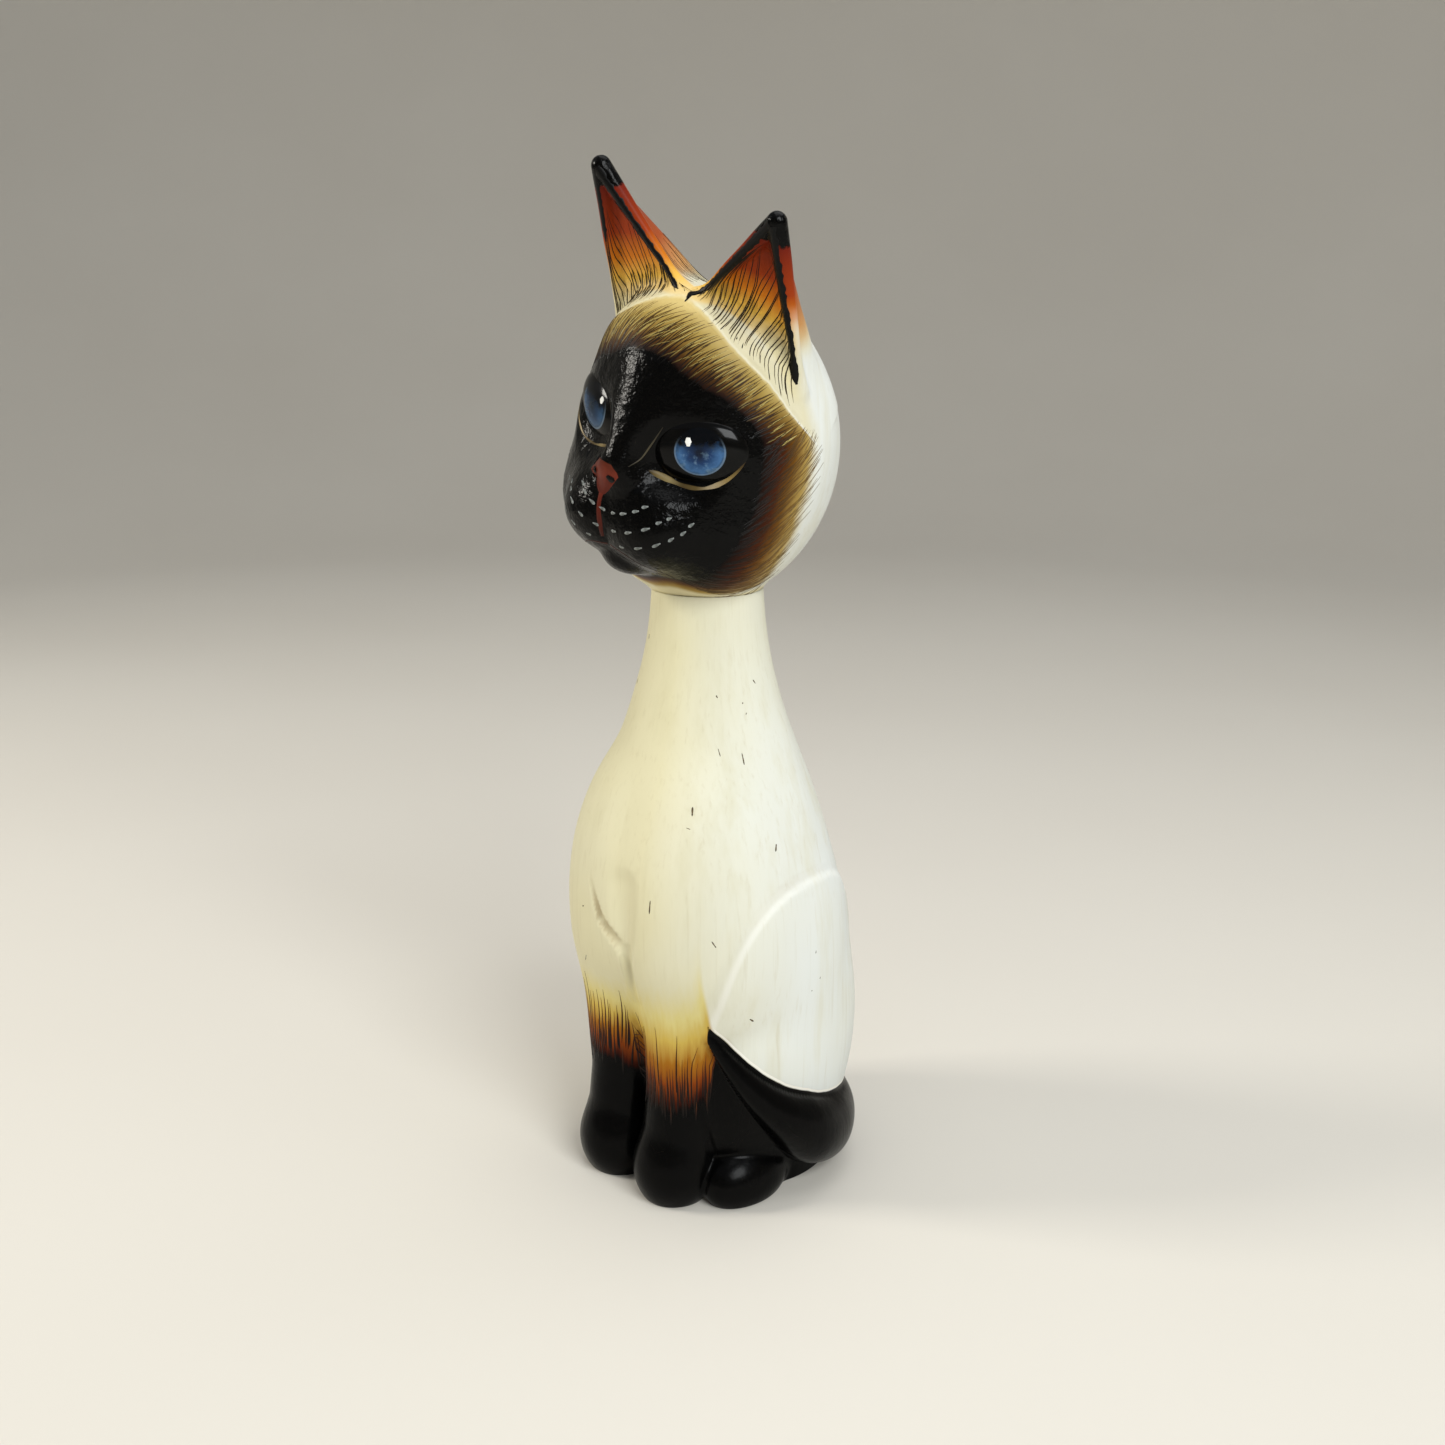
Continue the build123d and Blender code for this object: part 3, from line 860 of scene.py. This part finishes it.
# ------------------------------
# Fur strokes of the ears. Single hairs painted with a fine brush, from the crease at the ear's foot
# towards its tip, on the front and the inner side of each ear.
# ------------------------------
HAIR_RISE = 0.07  # how far a painted hair stands proud
EAR_STROKE_STEPS = np.linspace(0, 1, 12)


def swept(a, b, shares):
    """Points from a to b at shares of the way, for many pairs at once."""
    return a[:, None] + (b - a)[:, None] * shares[..., None]


def tapered(steps, width, low=0.15):
    """Half widths that swell quickly from a stroke's start, then thin slowly to its end."""
    share = np.linspace(0, 1, steps)
    return width * np.maximum(low, np.sin(np.pi * share**0.6) ** 0.7)


for name, hand in (("left", 1), ("right", -1)):
    tip = EAR_BALL[hand]
    starts, ends, shares = [], [], []
    rows = [  # the line they start from, how many, and how much of the way to the tip they go
        (CREST, 20 + 10 * (hand > 0), 0.50, 0.88), (CREST[1:], 6 + 5 * (hand > 0), 0.14, 0.34),
        ((EAR_BACK_INNER, EAR_INNER), 18, 0.2, 0.55),
    ]
    for foot, count, short, tall in rows:
        spot = (np.arange(count) + random.uniform(0.1, 0.9, count)) / count
        foot = np.array(foot)
        starts.append(part_way(foot, spot))
        ends.append(np.repeat((tip + (foot.mean(0) - tip) * 0.06)[None], count, 0))
        low = random.uniform(0.03, 0.14, count)
        high = random.uniform(short, tall, count)
        shares.append(low[:, None] + (high - low)[:, None] * EAR_STROKE_STEPS)
    starts, ends, shares = map(np.concatenate, (starts, ends, shares))
    line = from_head(sided(swept(starts, ends, shares), hand))
    lay(f"ear_strokes_{name}", line, tapered(12, 0.15), HAIR_RISE, head_shape,
        tints(["5a4c30", "1a120a", "120a06", "1c0c06"], EAR_STROKE_STEPS))

# ------------------------------
# Fur strokes of the face. Fine hairs that run out from the black mask over the brow, as far as the ears,
# and over both cheeks.
# ------------------------------


def on_skull(turn, reach):
    """Points of the skull at a direction round the face and an angle from straight ahead, in degrees."""
    a, b = np.radians(turn), np.radians(reach)
    way = np.stack([np.sin(b) * np.cos(a), -np.cos(b), np.sin(b) * np.sin(a)], -1) @ HEAD_TURN.T
    return march(HEAD_CENTRE + OUTSIDE_HEAD * way, -way, skull_shape, 40)


def fan_strokes(name, low, high, count, begin, length, bend, width, codes):
    """Strokes that start near the mask's border, spread evenly over a range of directions. Over the brow
    they sweep towards the left ear, and stop at the crest."""
    turn = low + (high - low) * (np.arange(count) + random.uniform(0, 1, count)) / count
    level = np.where(turn > 90, 180 - turn, turn)
    border, crest = through(level, MASK_TURN, MASK_REACH), through(level, CREST_TURN, CREST_REACH) - 0.8
    first = border + random.uniform(*begin, count)
    share = np.linspace(0, 1, 9)
    last = np.minimum(first + random.uniform(*length, count), crest)
    first = np.minimum(first, last - 2)
    reach = first[:, None] + (last - first)[:, None] * share
    sweep = 9 * np.exp(-((turn - 92) / 34) ** 2)
    lean = np.where(turn > 90, -1, 1) * bend - sweep + random.normal(0, 0.6, count)
    line = on_skull(turn[:, None] + lean[:, None] * share, reach)
    gone = (reach - border[:, None]) / 18
    lay(name, line, tapered(9, width), HAIR_RISE, skull_shape, tints(codes, np.clip(gone, 0, 1)))


DARK_HAIR = ["060403", "1e1208", "38240e", "503a18", "5e4620"]
PALE_HAIR = ["3a2c14", "8a7840", "a89858", "b7a668", "c4b57a"]
CHEEK_HAIR = ["060302", "1a0c05", "301c0a", "4c3414", "6a4c20"]
CHEEK_ROWS = [  # name, count, degrees past the mask's border, length in degrees, half width, colours
    ("low", 104, (-3, 3), (8, 14), 0.20, CHEEK_HAIR), ("high", 110, (6, 15), (8, 14), 0.17, CHEEK_HAIR),
    ("outer", 80, (15, 25), (7, 12), 0.13, ["1c120a", "3c2c18", "6e5a38"]),
]
fan_strokes("brow_strokes_low", 14, 166, 104, (-3.5, 2), (10, 16), 2, 0.17, DARK_HAIR)
fan_strokes("brow_strokes_high", 14, 166, 112, (3, 10), (8, 13), 2, 0.15, DARK_HAIR)
fan_strokes("brow_strokes_pale", 16, 164, 90, (-2, 9), (6, 10), 2, 0.17, PALE_HAIR)
for name, low, high in (("left", -62, 17), ("right", 163, 242)):
    for row, count, begin, length, width, codes in CHEEK_ROWS:
        fan_strokes(f"cheek_strokes_{row}_{name}", low, high, count, begin, length, 7, width, codes)

# ------------------------------
# Chips. The cream paint is old, and small nicks in it show dark wood and dirt.
# ------------------------------
LARGE_CHIPS = np.array([  # degrees round the body from its front, and height
    (62, 137), (66, 152), (68, 149), (20, 97), (92, 78), (95, 69), (90, 66), (60, 62), (34, 120), (74, 112),
])
STRAY_CHIPS = 14
turn = np.radians(np.concatenate([LARGE_CHIPS[:, 0], random.uniform(0, 360, STRAY_CHIPS)]))
level = np.concatenate([LARGE_CHIPS[:, 1], random.uniform(66, 172, STRAY_CHIPS)])
drift = random.normal(0, 0.7, (len(turn), 2)) * [0.5, 1.0]
share = np.linspace(-1, 1, 7)
spot = np.stack([50 * np.sin(turn), -50 * np.cos(turn), level], -1)
across = np.stack([np.cos(turn), np.sin(turn), 0 * turn], -1)
sideways = drift[:, :1, None] * across[:, None] * share[:, None]
upright = drift[:, 1:, None] * share[:, None] * [0, 0, 1.0]
line = spot[:, None] + sideways + upright
inward = np.stack([-np.sin(turn), np.cos(turn), 0 * turn], -1)[:, None]
line = march(line, np.broadcast_to(inward, line.shape), body_shape)
half = random.uniform(0.10, 0.34, (len(turn), 1)) * np.concatenate([[0.3], random.uniform(0.6, 1, 5), [0.3]])
lay("chips", line, half, 0.03, body_shape, tints(["3a3020", "6a5a40", "2a2218"], np.linspace(0, 1, 7)))

# ------------------------------
# Fur strokes of the front legs. Dark hairs that rise from the black feet over the orange, and slant a
# little to one side.
# ------------------------------


def leg_strokes(name, side, count, lowest, length):
    """Strokes up the leg of one side, spread over the part of it that faces forward."""
    turn = np.radians(np.linspace(-78, 84, count) + random.uniform(-2, 2, count)) * side
    base = lowest + random.uniform(-2.5, 8, count)
    share = np.linspace(0, 1, 9)
    height = base[:, None] + random.uniform(*length, count)[:, None] * share
    turn = turn[:, None] - 0.05 * share * (1 + random.normal(0, 0.4, (count, 1)))
    axle = np.array([12.5 * side, -27.0])
    reach = np.where(height < 34, 13.5, 13.5 + (height - 34) * 0.14)
    line = np.stack([axle[0] + reach * np.sin(turn), axle[1] - reach * np.cos(turn), height], -1)
    lay(name, line, tapered(9, 0.24), HAIR_RISE, body_shape,
        tints(["050302", "140804", "2e1406", "4a240a", "6a3c12"], share))


leg_strokes("leg_strokes_left", 1, 36, 31.0, (9, 20))
leg_strokes("leg_strokes_left_short", 1, 34, 30.0, (6, 12))
leg_strokes("leg_strokes_right", -1, 34, 38.0, (9, 20))
leg_strokes("leg_strokes_right_short", -1, 30, 37.0, (5, 11))

# ------------------------------
# Painted face. The nose is brick red with black nostrils, a red line runs down to the mouth, a thin gold
# line follows each lower eyelid, and rows of grey dabs mark the whiskers.
# ------------------------------


def face_line(name, spots, half, codes, rise=0.08, steps=24, hand=1, across=(1, 0, -1), field=head_shape):
    """One painted line through spots given in the head's own frame, with its half widths along the way."""
    spots = np.array(spots, float)
    knots = np.linspace(0, 1, len(spots))
    share = np.linspace(0, 1, steps)
    line = sided(np.stack([through(share, knots, spots[:, i]) for i in range(3)], -1), hand)
    width = np.interp(share, np.linspace(0, 1, len(half)), half)
    lay(name, from_head(line)[None], width, rise, field, tints(codes, share), across)


def eye_shape(p):
    """The distance to the nearer of the two eye domes."""
    q = to_head(p)
    left = oval(q, EYE_CENTRE, EYE_RADII, EYE_TURN)
    return np.minimum(left, oval(q * [-1, 1, 1], EYE_CENTRE + EYE_RIGHT_SHIFT, EYE_RADII, EYE_TURN))


LID = [
    (7.1, -33, 1.1), (9, -31.7, 0.3), (12.2, -30.2, -0.7), (15.7, -29, -1.5), (19.9, -27.5, -1.5),
    (23.3, -25.8, -0.4), (26.6, -23.6, 2.1), (28.7, -21.3, 5.3), (29.4, -19.8, 7.8),
]
LID_HALF = np.array([0.2, 0.8, 0.95, 0.5, 0.65, 0.35, 0.7, 0.45, 0.3, 0.1])
LID_CODES = ["2a2010", "6a5a36", "8c7c54", "4a3c20", "5e4e2c", "a8987a", "8a7444", "4a3a1c", "1c160c"]
BRIDGE_SIDE = [(9.4, -31.0, 13.5), (7.0, -32.6, 8.0), (5.2, -34.6, 4.2), (4.4, -38.4, 2.6)]
MOUTH = [(0.5, -39.1, -20.9), (7.0, -39.4, -22.2), (12.7, -33.9, -26.3), (14.2, -27, -30.3)]
for name, hand, rise in (("left", 1, 0), ("right", -1, EYE_RIGHT_RISE)):
    lid = np.array(LID) + [0, 0, rise]
    strong = 1.0 if hand > 0 else 0.5
    face_line(f"lid_line_{name}", lid, LID_HALF * strong, LID_CODES, steps=40, hand=hand)
    # Painted highlight: a grey line down each side of the nose's bridge, where its edge would catch the light
    # on the black paint.
    side = np.array(BRIDGE_SIDE) + [0, 0, rise * 0.7]
    face_line(f"bridge_highlight_{name}", side, [0.1, 0.28, 0.2, 0.1], ["2c2820", "4e4838", "2a261c"], hand=hand)
    face_line(f"mouth_line_{name}", MOUTH, [0.35, 0.3, 0.2, 0.1], ["3a140c", "1e0a06", "0a0403"], hand=hand)
face_line("nose_patch", [(-3.6, -41.6, 3.2), (-3.6, -41.6, 0.6), (-3.2, -41, -2.6), (-3.0, -40, -6.8)],
          [4.9, 7.2, 7.6, 4.0, 1.0], ["54200f", "702a1a", "561c11"], 0.12, 32,
          across=np.linspace(1, -1, 15))
for name, x in (("left", 1.0), ("right", -7.6)):
    face_line(f"nostril_{name}", [(x - 1.1, -41.2, -0.6), (x, -41.2, -1.3), (x + 1.1, -40.8, -1.0)],
              [0.5, 1.15, 0.5], ["020202"] * 2, 0.7, 12, across=ROUNDED)
LIP = [(-2.9, -40, -5.6), (-3.3, -40, -8), (-3.1, -40.4, -11), (-2.2, -41, -14.5), (-1.4, -40.6, -18.8)]
face_line("lip_line", LIP, [0.9, 0.65, 0.6, 0.75, 0.55], ["6a2416", "561c10", "3c140c"], 0.1)

DABS = [  # how far across the muzzle and how high, in three rows
    (1.8, -10.6), (5.5, -9.7), (9.1, -8.1), (11.4, -6.2),
    (3.1, -15.5), (8.4, -14.2), (12.6, -12.4), (15.3, -10.2), (17.6, -8.6),
    (5.9, -19.4), (11.2, -17.4), (15.2, -15.7), (18.2, -14.1), (20.9, -12.3), (22.6, -9.9),
]
for name, hand in (("left", 1), ("right", -1)):
    across_face, rise_face = np.array(DABS).T
    spot = np.stack([across_face, -41.5 + 0.018 * across_face**2, rise_face], -1)
    slope = np.stack([np.ones(len(spot)), 0.3 + 0 * across_face, 0.12 + 0.03 * across_face], -1)
    slope = slope / np.linalg.norm(slope, axis=-1, keepdims=True)
    long = random.uniform(0.8, 1.2, len(spot))[:, None]
    share = np.linspace(0, 1, 7)
    line = from_head(sided(swept(spot - slope * long, spot + slope * long, share), hand))
    lay(f"whisker_dabs_{name}", line, tapered(7, 0.46, 0.4), 0.10, head_shape,
        tints(["8d9290", "5e6260", "8d9290"], share))
GLINTS = [
    ("left", [(17.4, -31, 12.8), (17.6, -31, 11.6), (17.8, -31, 10.3)], 0.5),
    ("right", [(-14.2, -30, 15.4), (-14.0, -30, 14.4), (-13.9, -30, 13.2)], 0.3),
]
for name, spots, first in GLINTS:
    face_line(f"glint_{name}", spots, [first, 0.9, 0.4], ["f4f4f0"] * 2, 0.08, 9, field=eye_shape)

# ------------------------------
# Dowel. A plain beech peg, glued half in each block. Nearly all of it is hidden.
# ------------------------------
paint = Paint("bare_wood")
ring_noise = paint.noise((260, 260, 12), 4.0, 0.6)
colour = paint.mix(ring_noise.between(0.35, 0.65), "c9a777", "a9834f")
BARE_WOOD = paint.finish(Base_Color=colour, Roughness=0.62 + ring_noise * 0.1,
                         Normal=paint.bump(ring_noise, 0.0001, 0.6))
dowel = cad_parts["neck_dowel"]
dowel.data.materials.clear()
dowel.data.materials.append(BARE_WOOD)

# ------------------------------
# Stage. A pale floor that curves up all round, a soft cool lamp from the right, a smaller warm one from the
# left, a weaker white one above, and the camera.
# ------------------------------
FLOOR_FLAT = 1300.0
FLOOR_CURVE = 1000.0
around = np.linspace(0, 2 * np.pi, 96, endpoint=False)
climb = np.radians(np.linspace(0, 90, 20))
reach = np.concatenate([[300, 1000, FLOOR_FLAT], FLOOR_FLAT + FLOOR_CURVE * np.sin(climb[1:])])[:, None]
level = np.concatenate([[0, 0, 0], FLOOR_CURVE * (1 - np.cos(climb[1:]))])[:, None]
bowl = np.stack([reach * np.cos(around), reach * np.sin(around), level + 0 * around], -1)
rim = bowl[-1:] + np.array([0, 0, 700.0])
bowl = np.concatenate([np.zeros((1, 3)), bowl.reshape(-1, 3), rim.reshape(-1, 3)])
bowl_faces = [face for face in ring_faces(len(reach) + 1, len(around)) if max(face) < len(bowl)]
floor = show("floor", bowl, [face[::-1] for face in bowl_faces])
paint = Paint("floor_paint")
FLOOR_PAINT = paint.finish(Base_Color=paint.mix(paint.noise(3), "cfcac0", "d6d2c9"), Roughness=0.8)
floor.data.materials.append(FLOOR_PAINT)


def aim(thing, spot, target):
    """Puts a lamp or camera at a spot and points it at a target, in metres."""
    thing.location = spot
    thing.rotation_euler = (Vector(target) - Vector(spot)).to_track_quat("-Z", "Y").to_euler()


LAMPS = [  # name, place in metres, size in metres, watts, colour
    ("key_lamp", (0.95, -0.30, 0.80), 0.6, 12.3, (0.96, 0.99, 1.0)),
    ("warm_lamp", (-0.75, -0.75, 0.75), 0.28, 8.0, (1.0, 0.96, 0.88)),
    ("top_lamp", (0.10, 0.15, 1.20), 0.9, 5.0, (1.0, 1.0, 1.0)),
]
for name, spot, size, power, colour in LAMPS:
    lamp = bpy.data.objects.new(name, bpy.data.lights.new(name, "AREA"))
    lamp.data.size, lamp.data.energy, lamp.data.color = size, power, colour
    bpy.context.scene.collection.objects.link(lamp)
    aim(lamp, spot, (0, 0, 0.15))

world = bpy.data.worlds.new("studio")
world.use_nodes = True
world.node_tree.nodes["Background"].inputs["Color"].default_value = (0.80, 0.82, 0.85, 1)
world.node_tree.nodes["Background"].inputs["Strength"].default_value = 0.40
bpy.context.scene.world = world
bpy.context.scene.view_settings.view_transform = "Standard"

CAMERA_SPOT = (0.3005, -0.3005, 0.256)
CAMERA_PITCH = 15.2  # degrees down
CAMERA_YAW = 0.33  # degrees to the right of the neck's axis
CAMERA_LENS = 36.37
camera = bpy.data.objects.new("camera", bpy.data.cameras.new("camera"))
camera.data.lens, camera.data.sensor_width = CAMERA_LENS, 36.0
camera.data.clip_start = 0.01
camera.location = CAMERA_SPOT
camera.rotation_euler = (np.radians(90 - CAMERA_PITCH), 0, np.radians(45 - CAMERA_YAW))
bpy.context.scene.collection.objects.link(camera)
bpy.context.scene.camera = camera
